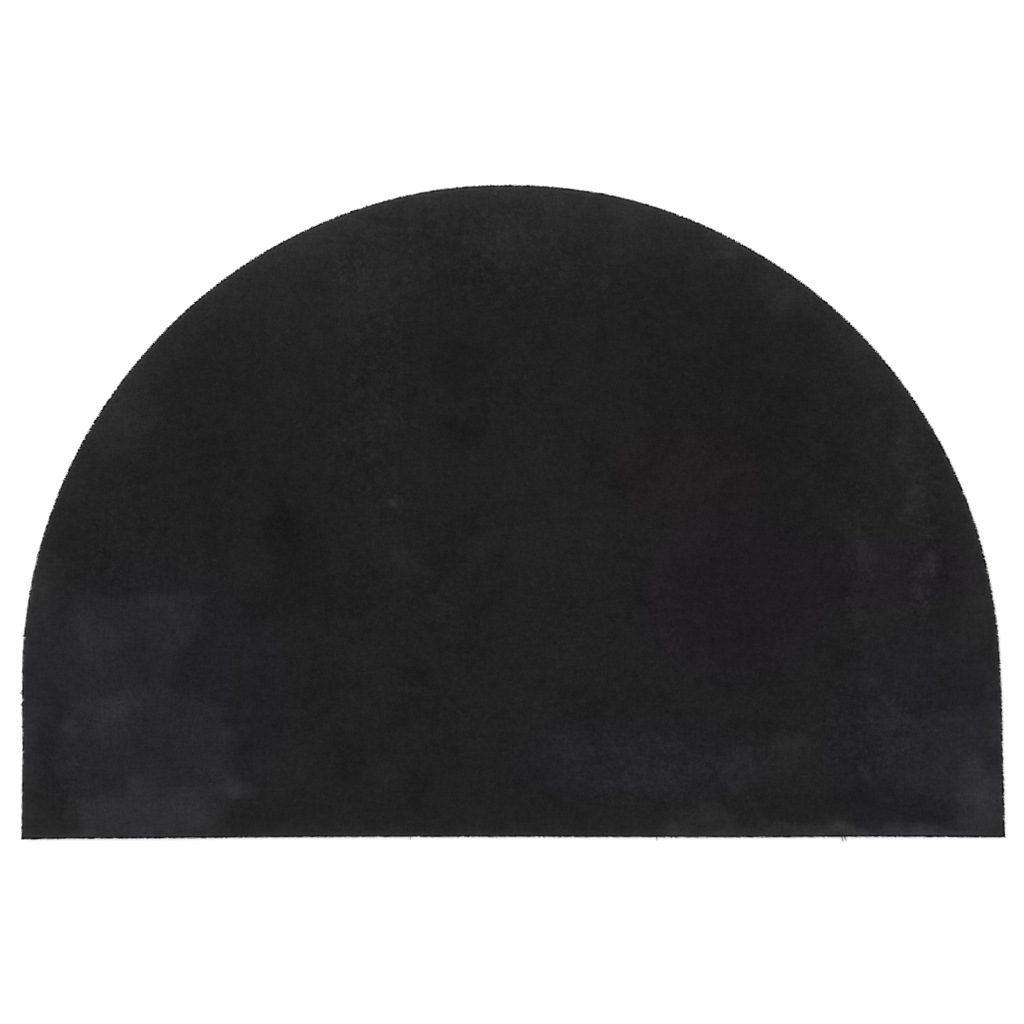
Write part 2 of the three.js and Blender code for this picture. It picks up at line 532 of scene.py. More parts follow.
@dataclass(frozen=True)
class WearAndPaintedEdgeLight:
    """How pale the pile is from place to place: worn and deep patches, and the painted highlight
    and painted shade along the cut edge.

    Args:
        level: The paleness of the plain pile, from 0 for fresh dye to 1 for bare fibre.
        rim_painted_highlight: How much paler the cut edge is painted, as a painted highlight.
        rim_painted_shade: How much darker the outermost fibres of the cut side are painted, as
            painted shade.
        rim_painted_shade_depth: How far inside the outline that reaches.
        warp: How far the patches' outlines wander, in metres, coarsely and finely.
        warp_size: How wide the swells of that wandering are, coarse and fine.
        warp_seeds: The start of their random draws. The one after each is used too.
        patches: The patches that lie over the plain pile.
        rough: The patches where the tufts differ more from one another.
        even: How much the tufts differ elsewhere.
        tufts: Tufts of several sizes, and how much each size differs.
        mottle: How much paler or darker one tuft is than another in a rough patch.
        flecks: How often a fibre is much paler than those beside it.
        fleck_lift: How much paler such a fibre is.
        darkest: The least paleness anywhere, before the rim's painted shade.
        darkest_fibre: The least paleness of a single fibre.
    """

    level: float = 0.212
    rim_painted_highlight: float = 0.58
    rim_painted_shade: float = 0.85
    rim_painted_shade_depth: float = 2.3 * MM
    warp: tuple[float, float] = (4.0 * MM, 2.5 * MM)
    warp_size: tuple[float, float] = (30 * MM, 9 * MM)
    warp_seeds: tuple[int, int] = (31, 33)
    patches: tuple[Patch, ...] = (
        *CROWN_PATCHES,
        *LOWER_LEFT_PATCHES,
        *LOWER_RIGHT_PATCHES,
        *RIGHT_STREAKS,
        *MIDDLE_PATCHES,
        *DEEP_PATCHES,
    )
    rough: tuple[Patch, ...] = ROUGH_PATCHES
    even: float = 0.25
    tufts: tuple[tuple[Tufts, float], ...] = (
        (Tufts((2.6 * MM, 1.7 * MM), 63), 0.7),
        (Tufts((4.6 * MM, 2.8 * MM), 61), 1.0),
        (Tufts((9.0 * MM, 6.0 * MM), 62), 0.8),
    )
    mottle: float = 0.04
    flecks: float = 0.02
    fleck_lift: float = 0.35
    darkest: float = 0.05
    darkest_fibre: float = 0.03

    def _moved(self, places: np.ndarray) -> np.ndarray:
        """Shifts places a little, so that patches get wandering outlines."""
        moved = places
        for far, size, seed in zip(self.warp, self.warp_size, self.warp_seeds):
            shift = [swells(places, size, seed), swells(places, size, seed + 1)]
            moved = moved + far * np.stack(shift, 1)
        return moved

    def paleness(self, outline: Outline, places: np.ndarray) -> np.ndarray:
        """How pale the pile is at places, with the painted highlight and painted shade along the
        edge.

        Args:
            outline: The mat's outline.
            places: Plan positions, one row each.

        Returns:
            The paleness of each place.
        """
        depth, outward = outline.depth(places)
        # The cut edge's paler band is a painted highlight
        pale = self.level + self.rim_painted_highlight * Edge.share(depth, outward)
        moved = self._moved(places)
        for patch in self.patches:
            pale += patch.lift(moved)
        # Painted shade: the outermost fibres, along the cut side, are painted darker
        steepness = 6
        free = np.exp(-((depth.clip(0, None) / self.rim_painted_shade_depth) ** steepness))
        return pale.clip(self.darkest, None) * (1 - self.rim_painted_shade * free)

    def roughness(self, places: np.ndarray) -> np.ndarray:
        """How much the tufts differ at places, from 0 up."""
        moved = self._moved(places)
        lifts = sum(patch.lift(moved) for patch in self.rough)
        return (self.even + lifts).clip(0, None)

    def fibres(
        self, outline: Outline, places: np.ndarray, rng: np.random.Generator
    ) -> np.ndarray:
        """How pale single fibres are, with their tufts' tones and the few that lost their dye.

        Args:
            outline: The mat's outline.
            places: Their roots in plan.
            rng: The random draws.

        Returns:
            The paleness of each fibre.
        """
        pale = self.paleness(outline, places)
        rough = self.roughness(places)
        for tufts, share in self.tufts:
            pale += self.mottle * share * rough * self._skewed(tufts.numbers(places)[:, 0])
        chance = self.flecks * (pale / self.level).clip(0, None) ** 2 * (0.5 + rough)
        lost = rng.random(len(places)) < chance
        pale += np.where(lost, self.fleck_lift * rng.uniform(0.4, 1, len(places)), 0)
        return pale.clip(self.darkest_fibre, None)

    @staticmethod
    def _skewed(draws: np.ndarray) -> np.ndarray:
        """Turns even draws into ones mostly a little below 0, and seldom well above it."""
        longest_tail, middle = 0.97, 0.9
        return -np.log(1 - longest_tail * draws) - middle


# Fibre shapes and how they are joined


class Shape(ABC):
    """A closed fibre of unit length and width that is copied many times."""

    @abstractmethod
    def shaped(self) -> bmesh.types.BMesh:
        """Shapes the fibre from its root at the origin up to height 1."""

    def mesh(self) -> tuple[np.ndarray, np.ndarray]:
        """Turns the fibre into triangles that face outwards.

        Returns:
            Its vertices, and its triangles as vertex numbers.
        """
        bm = self.shaped()
        bmesh.ops.triangulate(bm, faces=bm.faces[:])
        bmesh.ops.recalc_face_normals(bm, faces=bm.faces[:])
        bm.verts.index_update()
        points = np.array([v.co[:] for v in bm.verts])
        faces = np.array([[v.index for v in f.verts] for f in bm.faces])
        bm.free()
        return points, faces


@dataclass(frozen=True)
class ShearedTip(Shape):
    """A short fibre end, flat at the root and cut across at the tip.

    Args:
        tip_width: The tip's width as a share of the root's.
    """

    tip_width: float = 0.8

    def shaped(self) -> bmesh.types.BMesh:
        """Joins the root edge to the cut that crosses it."""
        bm = bmesh.new()
        half = self.tip_width / 2
        corners = ((-0.5, 0, 0), (0.5, 0, 0), (0, -half, 1), (0, half, 1))
        bmesh.ops.convex_hull(bm, input=[bm.verts.new(corner) for corner in corners])
        return bm


@dataclass(frozen=True)
class Bristle(Shape):
    """A long three sided fibre with a blunt tip.

    Args:
        rings: Rows of height, width and sideways lean as shares, from the root up to the tip.
    """

    rings: tuple[tuple[float, float, float], ...] = ((1.0, 0.8, 0.0),)

    def shaped(self) -> bmesh.types.BMesh:
        """Raises a triangle ring by ring, over a foot that closes it."""
        bm = bmesh.new()
        bmesh.ops.create_circle(bm, cap_ends=True, radius=0.5, segments=3)
        top = bm.faces[:][0]
        bmesh.ops.duplicate(bm, geom=[top])
        width, lean, height = 1.0, 0.0, 0.0
        for ring_height, ring_width, ring_lean in self.rings:
            top = bmesh.ops.extrude_discrete_faces(bm, faces=[top])["faces"][0]
            step = (ring_lean - lean, 0, ring_height - height)
            bmesh.ops.translate(bm, vec=step, verts=top.verts[:])
            bmesh.ops.scale(
                bm,
                vec=(ring_width / width, ring_width / width, 1),
                space=Matrix.Translation(-top.calc_center_median()),
                verts=top.verts[:],
            )
            width, lean, height = ring_width, ring_lean, ring_height
        bmesh.ops.remove_doubles(bm, verts=bm.verts, dist=WELD)
        return bm


def store(mesh: bpy.types.Mesh, name: str, values: np.ndarray) -> None:
    """Stores a number for each vertex, for a finish to read.

    Args:
        mesh: The mesh.
        name: The attribute's name.
        values: The numbers.
    """
    made = mesh.attributes.new(name, "FLOAT", "POINT")
    made.data.foreach_set("value", values.astype(np.float32))


@dataclass
class Places:
    """Where the copies of a fibre stand, one row each.

    Args:
        root: Root positions.
        length: Lengths, in metres.
        width: Widths, in metres.
        lean: Angles from upright, in radians.
        towards: Bearings of the lean, in radians.
        spin: Turns about the fibre's own length, in radians.
        tone: A share from 0 to 1 that sets each copy apart from its neighbours.
        pale: How pale each copy is.
        rough: How much the tufts differ round each copy.
    """

    root: np.ndarray
    length: np.ndarray
    width: np.ndarray
    lean: np.ndarray
    towards: np.ndarray
    spin: np.ndarray
    tone: np.ndarray
    pale: np.ndarray
    rough: np.ndarray

    def __len__(self) -> int:
        """The number of copies."""
        return len(self.root)

    def every(self, count: int, start: int) -> "Places":
        """Takes each count-th copy, from start."""
        return Places(**{name: rows[start::count] for name, rows in vars(self).items()})

    def turns(self) -> np.ndarray:
        """The rotation of each copy, as 3 by 3 matrices."""
        cl, sl = np.cos(self.lean), np.sin(self.lean)
        ct, st = np.cos(self.towards), np.sin(self.towards)
        own = self.spin - self.towards
        cs, ss = np.cos(own), np.sin(own)
        nought = np.zeros_like(cl)
        one = np.ones_like(cl)
        bearing = np.array([[ct, -st, nought], [st, ct, nought], [nought, nought, one]])
        tilt = np.array([[cl, nought, sl], [nought, one, nought], [-sl, nought, cl]])
        roll = np.array([[cs, -ss, nought], [ss, cs, nought], [nought, nought, one]])
        return np.einsum("ijn,jkn,kln->nil", bearing, tilt, roll)


class FibreMesh:
    """Joins copies of one fibre into one mesh, with the attributes that its finish reads."""

    def __init__(self, shape: Shape) -> None:
        """Shapes the fibre to copy."""
        self.points, self.faces = shape.mesh()

    def joined(self, name: str, places: Places, finish: bpy.types.Material) -> bpy.types.Object:
        """Makes the joined mesh.

        Args:
            name: The piece's name.
            places: Where the copies stand.
            finish: The piece's material.

        Returns:
            The new object, at the origin.
        """
        count, each = len(places), len(self.points)
        size = np.stack([places.width, places.width, places.length], 1)
        local = self.points[None] * size[:, None, :]
        points = np.einsum("nij,nkj->nki", places.turns(), local) + places.root[:, None, :]
        faces = self.faces[None] + (np.arange(count) * each)[:, None, None]
        corners = faces.reshape(-1)
        mesh = bpy.data.meshes.new(name)
        mesh.vertices.add(count * each)
        mesh.vertices.foreach_set("co", points.reshape(-1).astype(np.float32))
        mesh.loops.add(len(corners))
        mesh.loops.foreach_set("vertex_index", corners.astype(np.int32))
        mesh.polygons.add(len(corners) // 3)
        mesh.polygons.foreach_set("loop_start", np.arange(0, len(corners), 3, dtype=np.int32))
        mesh.update(calc_edges=True)
        along = np.tile(self.points[:, 2], count)
        store(mesh, "along", along)
        for given in ("tone", "pale", "rough"):
            store(mesh, given, np.repeat(getattr(places, given), each))
        self._bake_map(mesh, count, corners)
        mesh.materials.append(finish)
        mesh.validate()
        return linked(name, mesh)

    def _bake_map(self, mesh: bpy.types.Mesh, count: int, corners: np.ndarray) -> None:
        """Gives each copy a small square of its own on the map, unrolled round the fibre.

        Args:
            mesh: The joined mesh.
            count: How many copies it holds.
            corners: The vertex number at each face corner.
        """
        across = math.ceil(math.sqrt(count))
        cell = np.arange(count)
        column, row = cell % across, cell // across
        gap = 0.12
        flat = gap + (1 - 2 * gap) * self._unrolled()
        u = (column[:, None] + flat[None, :, 0]) / across
        v = (row[:, None] + flat[None, :, 1]) / across
        layer = mesh.uv_layers.new(name=BAKE_MAP)
        layer.data.foreach_set("uv", np.stack([u, v], 2).reshape(-1).astype(np.float32))

    def _unrolled(self) -> np.ndarray:
        """Lays one copy's corners out: round the fibre across, and root to tip up."""
        rows, on_axis = [], 1e-4
        for face in self.faces:
            corner = self.points[face]
            middle = corner.mean(0)
            turn = math.atan2(middle[1], middle[0]) / (2 * math.pi) + 0.5
            for x, y, z in corner:
                own = math.atan2(y, x) / (2 * math.pi) + 0.5
                own = turn if math.hypot(x, y) < on_axis else own
                own += round(turn - own)
                rows.append((min(max(own, 0.0), 1.0), z))
        return np.array(rows)


# Finishes


class Painter:
    """Adds nodes to one material, each wired to what it is given."""

    def __init__(self, name: str) -> None:
        """Starts a material with its shader, output and object coordinates."""
        self.material = bpy.data.materials.new(name)
        self.material.use_nodes = True
        self.tree = self.material.node_tree
        self.tree.nodes.clear()
        self.output = self.tree.nodes.new("ShaderNodeOutputMaterial")
        self.shader = self.tree.nodes.new("ShaderNodeBsdfPrincipled")
        self.tree.links.new(self.shader.outputs[0], self.output.inputs[0])
        self.place = self.tree.nodes.new("ShaderNodeTexCoord").outputs["Object"]

    def _wired(self, node: bpy.types.Node, socket: int | str, value: object) -> None:
        """Links a socket, or sets its number."""
        if isinstance(value, bpy.types.NodeSocket):
            self.tree.links.new(value, node.inputs[socket])
        else:
            node.inputs[socket].default_value = value

    def math(self, kind: str, first: object, second: object = 0.0) -> bpy.types.NodeSocket:
        """Adds a Math node.

        Args:
            kind: The operation.
            first: The first number or socket.
            second: The second number or socket.

        Returns:
            The result.
        """
        node = self.tree.nodes.new("ShaderNodeMath")
        node.operation = kind
        self._wired(node, 0, first)
        self._wired(node, 1, second)
        return node.outputs[0]

    def ranged(
        self, value: bpy.types.NodeSocket, low: float, high: float, to_low: float, to_high: float
    ) -> bpy.types.NodeSocket:
        """Maps a range onto another, clamped.

        Args:
            value: The number to map.
            low: The start of its range.
            high: The end of its range.
            to_low: What the start becomes.
            to_high: What the end becomes.

        Returns:
            The mapped number.
        """
        node = self.tree.nodes.new("ShaderNodeMapRange")
        ends = {"From Min": low, "From Max": high, "To Min": to_low, "To Max": to_high}
        for name, number in ends.items():
            node.inputs[name].default_value = number
        self._wired(node, "Value", value)
        return node.outputs[0]

    def mapped(
        self,
        scale: Sequence[float] = (1, 1, 1),
        turn: float = 0.0,
        centre: Sequence[float] = (0, 0, 0),
    ) -> bpy.types.NodeSocket:
        """Turns and stretches object coordinates about a centre.

        Args:
            scale: How much each axis is stretched.
            turn: The turn about Z, in radians.
            centre: The point that goes to 0.

        Returns:
            The new coordinates.
        """
        node = self.tree.nodes.new("ShaderNodeMapping")
        node.vector_type = "TEXTURE"
        node.inputs["Location"].default_value = centre
        node.inputs["Rotation"].default_value = (0, 0, turn)
        node.inputs["Scale"].default_value = scale
        self._wired(node, "Vector", self.place)
        return node.outputs[0]

    def noise(
        self,
        size: float,
        detail: float = 3.0,
        stretch: Sequence[float] = (1, 1, 1),
        turn: float = 0.0,
        roughness: float = 0.55,
    ) -> bpy.types.NodeSocket:
        """Adds noise of a real size.

        Args:
            size: The size of the blotches, in metres.
            detail: How many finer layers it has.
            stretch: How much longer the blotches are along each axis.
            turn: The turn about Z, in radians.
            roughness: How strong the finer layers are.

        Returns:
            The noise, from 0 to 1.
        """
        node = self.tree.nodes.new("ShaderNodeTexNoise")
        node.inputs["Scale"].default_value = 1.0
        node.inputs["Detail"].default_value = detail
        node.inputs["Roughness"].default_value = roughness
        scale = tuple(size * s for s in stretch)
        self._wired(node, "Vector", self.mapped(scale=scale, turn=turn))
        return node.outputs["Fac"]

    def spot(self, centre: Sequence[float], size: Sequence[float]) -> bpy.types.NodeSocket:
        """Adds a soft oval spot.

        Args:
            centre: Its centre in plan.
            size: Its half widths along X and Y.

        Returns:
            1 at the centre, falling to 0 at its rim.
        """
        node = self.tree.nodes.new("ShaderNodeTexGradient")
        node.gradient_type = "SPHERICAL"
        flat = self.mapped(scale=(*size, 1.0), centre=(*centre, 0.0))
        self._wired(node, "Vector", flat)
        return node.outputs["Fac"]

    def attribute(self, name: str) -> bpy.types.NodeSocket:
        """Reads a number that the mesh carries."""
        node = self.tree.nodes.new("ShaderNodeAttribute")
        node.attribute_name = name
        return node.outputs["Fac"]

    def between(
        self, share: bpy.types.NodeSocket, low: Sequence[float], high: Sequence[float]
    ) -> bpy.types.NodeSocket:
        """Mixes two colours by a share."""
        node = self.tree.nodes.new("ShaderNodeMix")
        node.data_type = "RGBA"
        self._wired(node, 0, share)
        node.inputs[6].default_value = (*low, 1)
        node.inputs[7].default_value = (*high, 1)
        return node.outputs[2]

    def tint(
        self,
        colour: bpy.types.NodeSocket,
        share: bpy.types.NodeSocket,
        factor: Sequence[float],
    ) -> bpy.types.NodeSocket:
        """Multiplies a colour, channel by channel, by a share."""
        node = self.tree.nodes.new("ShaderNodeMix")
        node.data_type = "RGBA"
        node.blend_type = "MULTIPLY"
        self._wired(node, 0, share)
        self._wired(node, 6, colour)
        node.inputs[7].default_value = (*factor, 1)
        return node.outputs[2]

    def bump(self, height: bpy.types.NodeSocket, strength: float, depth: float) -> None:
        """Wires a bump into the shader, with its depth in metres."""
        node = self.tree.nodes.new("ShaderNodeBump")
        node.inputs["Strength"].default_value = strength
        node.inputs["Distance"].default_value = depth
        self._wired(node, "Height", height)
        self.tree.links.new(node.outputs[0], self.shader.inputs["Normal"])

    def set(self, **values: object) -> None:
        """Sets the shader's own sockets, with spaces in their names as underscores."""
        for name, value in values.items():
            self._wired(self.shader, name.replace("_", " "), value)


@dataclass(frozen=True)
class Cast:
    """A faint cast that the black dye takes where it has aged.

    Args:
        factor: How it changes each channel.
        spots: Where it lies, each with its centre and its half length and half width.
    """

    factor: tuple[float, float, float]
    spots: tuple[tuple[tuple[float, float], tuple[float, float]], ...]


COOL = Cast(
    (1.0, 0.98, 1.16),
    (
        ((-0.33, -0.17), (0.15, 0.14)),
        ((0.115, -0.227), (0.14, 0.045)),
        ((0.37, -0.21), (0.10, 0.12)),
    ),
)
VIOLET = Cast(
    (1.0, 0.87, 1.03),
    (
        ((0.203, -0.08), (0.11, 0.09)),
        ((0.34, -0.055), (0.11, 0.035)),
    ),
)
RUSSET = Cast((1.04, 0.95, 0.97), (((0.16, 0.035), (0.11, 0.065)),))

# Nearly all of a noise's values lie in this part of its range
NOISE_REACH = (0.3, 0.7)


@dataclass(frozen=True)
class Grain:
    """One size of unevenness in how pale the pile is.

    Args:
        size: The width of its blotches, in metres.
        detail: How many finer layers it has.
        swing: How much it darkens and lifts the pile.
        stretch: How much longer its blotches are along each axis.
        roughness: How strong its finer layers are.
        reach: The part of the noise's range that the swing is spread over.
    """

    size: float
    detail: float
    swing: tuple[float, float]
    stretch: tuple[float, float, float] = (1, 1, 1)
    roughness: float = 0.55
    reach: tuple[float, float] = NOISE_REACH

    def swung(self, paint: Painter) -> bpy.types.NodeSocket:
        """Adds the grain's nodes and returns how much it changes the pile at each place."""
        noise = paint.noise(self.size, self.detail, self.stretch, roughness=self.roughness)
        return paint.ranged(noise, *self.reach, *self.swing)


BLOTCHES = Grain(50 * MM, 6, (-0.10, 0.10), roughness=0.66)
CLUMPS = Grain(11 * MM, 2, (-0.065, 0.065), roughness=0.8)
SPECKS = Grain(4.2 * MM, 1, (-0.022, 0.105), roughness=0.7, reach=(0.5, 0.72))
ROWS_ALONG = Grain(2.8 * MM, 2, (-0.03, 0.03), stretch=(9, 1, 1))
ROWS_ACROSS = Grain(2.8 * MM, 2, (-0.03, 0.03), stretch=(1, 9, 1))


@dataclass(frozen=True)
class DyedCoir:
    """The finish of black dyed coconut fibre.

    Args:
        name: The material's name.
        deep: The colour of fresh dye.
        worn: The colour of the palest, most rubbed fibre.
        casts: The faint casts of the aged dye.
        root_painted_shade: How much darker the roots are painted than the tips, as painted shade
            down in the pile.
        spread: How much the tone differs from fibre to fibre.
        mass_shade: How pale the mass below the tips is painted against them, as painted shade
            under the tips.
        by_level: How strong the even grain is where the pile is deep and where it is pale.
        by_rough: How strong the clumps and specks are in the smoothest and the roughest pile.
        strand_width: The width of the strands that lie matted in the mass, in metres.
        strand_turns: Their bearings, in radians.
        strand_stretch: How many times longer than wide they are.
        strand_reach: The part of their noise's range in which gaps turn into strands.
        strand_tones: How pale the gaps between strands, painted as shade, and the strands are.
        relief: The strength and the depth of the strands' relief, the depth in metres.
        roughness: The least and greatest roughness.
        mass_roughness: The roughness of the mass.
        specular: The strength of the highlights.
    """

    name: str
    deep: tuple[float, float, float] = (0.0050, 0.0049, 0.0051)
    worn: tuple[float, float, float] = (0.0745, 0.0732, 0.0745)
    casts: tuple[Cast, ...] = (COOL, VIOLET, RUSSET)
    root_painted_shade: float = 0.6
    spread: float = 0.22
    mass_shade: float = 0.705
    by_level: tuple[float, float] = (0.45, 1.3)
    by_rough: tuple[float, float] = (0.28, 2.1)
    strand_width: float = 0.34 * MM
    strand_turns: tuple[float, ...] = (0.3, 1.2, 2.0, 2.8)
    strand_stretch: float = 10
    strand_reach: tuple[float, float] = (0.45, 0.75)
    strand_tones: tuple[float, float] = (0.68, 1.27)
    relief: tuple[float, float] = (0.8, 1.0 * MM)
    roughness: tuple[float, float] = (0.75, 0.92)
    mass_roughness: float = 0.95
    specular: float = 0.16

    def nap(self, paint: Painter) -> bpy.types.NodeSocket:
        """How pale the pile is, with its grain from blotches down to fibres.

        Args:
            paint: The material's painter.

        Returns:
            The paleness.
        """
        level = paint.attribute("pale")
        rows = paint.math("ADD", ROWS_ALONG.swung(paint), ROWS_ACROSS.swung(paint))
        even = paint.math("ADD", BLOTCHES.swung(paint), rows)
        uneven = paint.math("ADD", CLUMPS.swung(paint), SPECKS.swung(paint))
        more = paint.ranged(level, 0.18, 0.5, *self.by_level)
        rougher = paint.ranged(paint.attribute("rough"), 0, 2, *self.by_rough)
        plain = paint.math("ADD", level, paint.math("MULTIPLY", even, more))
        return paint.math("ADD", plain, paint.math("MULTIPLY", uneven, rougher))

    def tinted(self, paint: Painter, pale: bpy.types.NodeSocket) -> bpy.types.NodeSocket:
        """Turns paleness into colour, with the casts of the aged dye.

        Args:
            paint: The material's painter.
            pale: The paleness.

        Returns:
            The colour.
        """
        colour = paint.between(pale, self.deep, self.worn)
        for cast in self.casts:
            share = 0.0
            for centre, size in cast.spots:
                share = paint.math("ADD", paint.spot(centre, size), share)
            colour = paint.tint(colour, paint.ranged(share, 0, 0.5, 0, 1), cast.factor)
        return colour

    def material(self) -> bpy.types.Material:
        """Builds the material for the fibres, which carry pale, tone and along."""
        paint = Painter(self.name)
        own = paint.ranged(paint.attribute("tone"), 0, 1, 1 - self.spread, 1 + self.spread)
        # Painted shade: each fibre is painted darker towards its root, down in the pile
        lift = paint.ranged(paint.attribute("along"), 0.1, 1, 1 - self.root_painted_shade, 1)
        pale = paint.math("MULTIPLY", self.nap(paint), paint.math("MULTIPLY", own, lift))
        rough = paint.ranged(paint.noise(4 * MM, 2), *NOISE_REACH, *self.roughness)
        paint.set(Base_Color=self.tinted(paint, pale), Roughness=rough)
        paint.set(Specular_IOR_Level=self.specular)
        return paint.material

    def felt(self) -> bpy.types.Material:
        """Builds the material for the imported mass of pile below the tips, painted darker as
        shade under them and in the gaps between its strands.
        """
        paint = Painter(self.name + "_mass")
        strands, stretch = 0.0, (self.strand_stretch, 1, 1)
        for turn in self.strand_turns:
            lying = paint.noise(self.strand_width, 1, stretch=stretch, turn=turn)
            strands = paint.math("MAXIMUM", lying, strands)
        # Painted shade: the gaps between strands, and the whole mass under the tips, are painted
        # darker
        tone = paint.ranged(strands, *self.strand_reach, *self.strand_tones)
        shade = paint.math("MULTIPLY", tone, self.mass_shade)
        pale = paint.math("MULTIPLY", self.nap(paint), shade)
        paint.set(Base_Color=self.tinted(paint, pale), Roughness=self.mass_roughness)
        paint.set(Specular_IOR_Level=self.specular / 2)
        paint.bump(strands, *self.relief)
        return paint.material


@dataclass(frozen=True)
class FusedBase:
    """The finish of the black base that holds the roots.

    Args:
        name: The material's name.
        colour: The colour of the untouched base.
        scuffed: The colour where it is scuffed.
        roughness: The least and greatest roughness.
        specular: The strength of the highlights.
        pores: The strength and the depth of the pores' relief, the depth in metres.
    """

    name: str = "fused_base"
    colour: tuple[float, float, float] = (0.007, 0.007, 0.0073)
    scuffed: tuple[float, float, float] = (0.018, 0.018, 0.018)
    roughness: tuple[float, float] = (0.65, 0.85)
    specular: float = 0.16
    pores: tuple[float, float] = (0.5, 0.3 * MM)

    def material(self) -> bpy.types.Material:
        """Builds the material."""
        paint = Painter(self.name)
        scuff = paint.ranged(paint.noise(30 * MM, 5, roughness=0.7), 0.45, 0.8, 0, 1)
        rough = paint.ranged(paint.noise(6 * MM, 3), *NOISE_REACH, *self.roughness)
        paint.set(Base_Color=paint.between(scuff, self.colour, self.scuffed), Roughness=rough)
        paint.set(Specular_IOR_Level=self.specular)
        paint.bump(paint.noise(1.6 * MM, 3), *self.pores)
        return paint.material


# The mat


@dataclass
class MatBody:
    """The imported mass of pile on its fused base, as one closed slab.

    Args:
        base_height: The height of the fused base.
        base_inset: How far the base stands in from the widest outline.
        pile_inset: How far the mass stands in, behind the rim's fibres.
        shoulder: How far the mass's top edge is rounded.
        rings: The widths of the finer rows of faces inside the shoulder.
        drop: How far the mass's top lies below the fibre tips.
        cell: The spacing of the points across the top.
    """

    outline: Outline
    skin: Skin
    wear_and_painted_edge_light: WearAndPaintedEdgeLight
    base_height: float = 2.4 * MM
    base_inset: float = 0.12 * MM
    pile_inset: float = 2.2 * MM
    shoulder: float = 0.8 * MM
    rings: tuple[float, ...] = (1.2 * MM, 2.0 * MM, 3.5 * MM)
    drop: float = 1.25 * MM
    cell: float = 6.0 * MM

    def build(self, pile: bpy.types.Material, base: bpy.types.Material) -> bpy.types.Object:
        """Makes the slab.

        Args:
            pile: The finish of the pile's mass.
            base: The finish of the fused base.

        Returns:
            The new object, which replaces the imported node.
        """
        bm = bmesh.new()
        top = self._raised(bm, self._foot(bm), self.base_height)
        bmesh.ops.inset_region(
            bm, faces=[top], thickness=self.pile_inset - self.base_inset, use_even_offset=True
        )
        for face in bm.faces:
            face.material_index = 1
        top.material_index = 0
        halfway = self.outline.points * 0.5
        pile_top = float(np.max(self.skin.height(halfway))) - self.drop
        top = self._raised(bm, top, pile_top - self.base_height - self.shoulder)
        bmesh.ops.inset_region(
            bm, faces=[top], thickness=self.shoulder, depth=0.0, use_even_offset=True
        )
        bmesh.ops.translate(bm, vec=(0, 0, self.shoulder), verts=top.verts[:])
        for width in self.rings:
            bmesh.ops.inset_region(bm, faces=[top], thickness=width, use_even_offset=True)
        bmesh.ops.remove_doubles(bm, verts=bm.verts, dist=WELD)
        self._grid(bm, top)
        self._settled(bm, pile_top)
        for face in bm.faces:
            face.smooth = face.material_index == 0
        mesh = bpy.data.meshes.new("mat_body")
        bm.to_mesh(mesh)
        bm.free()
        mesh.materials.append(pile)
        mesh.materials.append(base)
        self._attributes(mesh)
        return linked("mat_body", mesh)

    def _foot(self, bm: bmesh.types.BMesh) -> bmesh.types.BMFace:
        """Lays the underside, and on it the face from which the slab is raised.

        Args:
            bm: The empty slab.

        Returns:
            The face to raise.
        """
        foot = bm.faces.new([bm.verts.new((x, y, 0)) for x, y in self.outline.points])
        foot.normal_update()
        bmesh.ops.inset_region(
            bm, faces=[foot], thickness=self.base_inset, use_boundary=True, use_even_offset=True
        )
        spare = [f for f in bm.faces if f is not foot]
        bmesh.ops.delete(bm, geom=spare, context="FACES")
        lone = [v for v in bm.verts if not v.link_faces]
        bmesh.ops.delete(bm, geom=lone, context="VERTS")
        under = bmesh.ops.duplicate(bm, geom=[foot])["geom"]
        under = [g for g in under if isinstance(g, bmesh.types.BMFace)]
        bmesh.ops.reverse_faces(bm, faces=under)
        return foot

    @staticmethod
    def _raised(
        bm: bmesh.types.BMesh, face: bmesh.types.BMFace, rise: float
    ) -> bmesh.types.BMFace:
        """Extrudes a face straight up.

        Args:
            bm: The slab so far.
            face: Its top face.
            rise: How far the new top goes.

        Returns:
            The new top face.
        """
        made = bmesh.ops.extrude_discrete_faces(bm, faces=[face])
        top = made["faces"][0]
        bmesh.ops.translate(bm, vec=(0, 0, rise), verts=top.verts[:])
        bmesh.ops.remove_doubles(bm, verts=bm.verts, dist=WELD)
        return top

    def _grid(self, bm: bmesh.types.BMesh, top: bmesh.types.BMFace) -> None:
        """Cuts the top into cells with level planes along X and Y."""
        low, high = self.outline.points.min(0), self.outline.points.max(0)
        for axis in (0, 1):
            normal = [0.0, 0.0, 0.0]
            normal[axis] = 1.0
            for at in np.arange(low[axis] + self.cell, high[axis], self.cell):
                centre = [0.0, 0.0, 0.0]
                centre[axis] = at
                faces = [f for f in bm.faces if f.normal.z > 0.9 and f.material_index == 0]
                edges = {e for f in faces for e in f.edges}
                verts = {v for f in faces for v in f.verts}
                geom = [*faces, *edges, *verts]
                bmesh.ops.bisect_plane(
                    bm, geom=geom, dist=WELD, plane_co=centre, plane_no=normal
                )

    def _settled(self, bm: bmesh.types.BMesh, level: float) -> None:
        """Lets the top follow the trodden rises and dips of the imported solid."""
        verts = [v for v in bm.verts if v.co.z > level - 1e-5]
        places = np.array([v.co[:2] for v in verts])
        heights = self.skin.height(places)
        for vert, height in zip(verts, heights):
            vert.co.z = height - self.drop

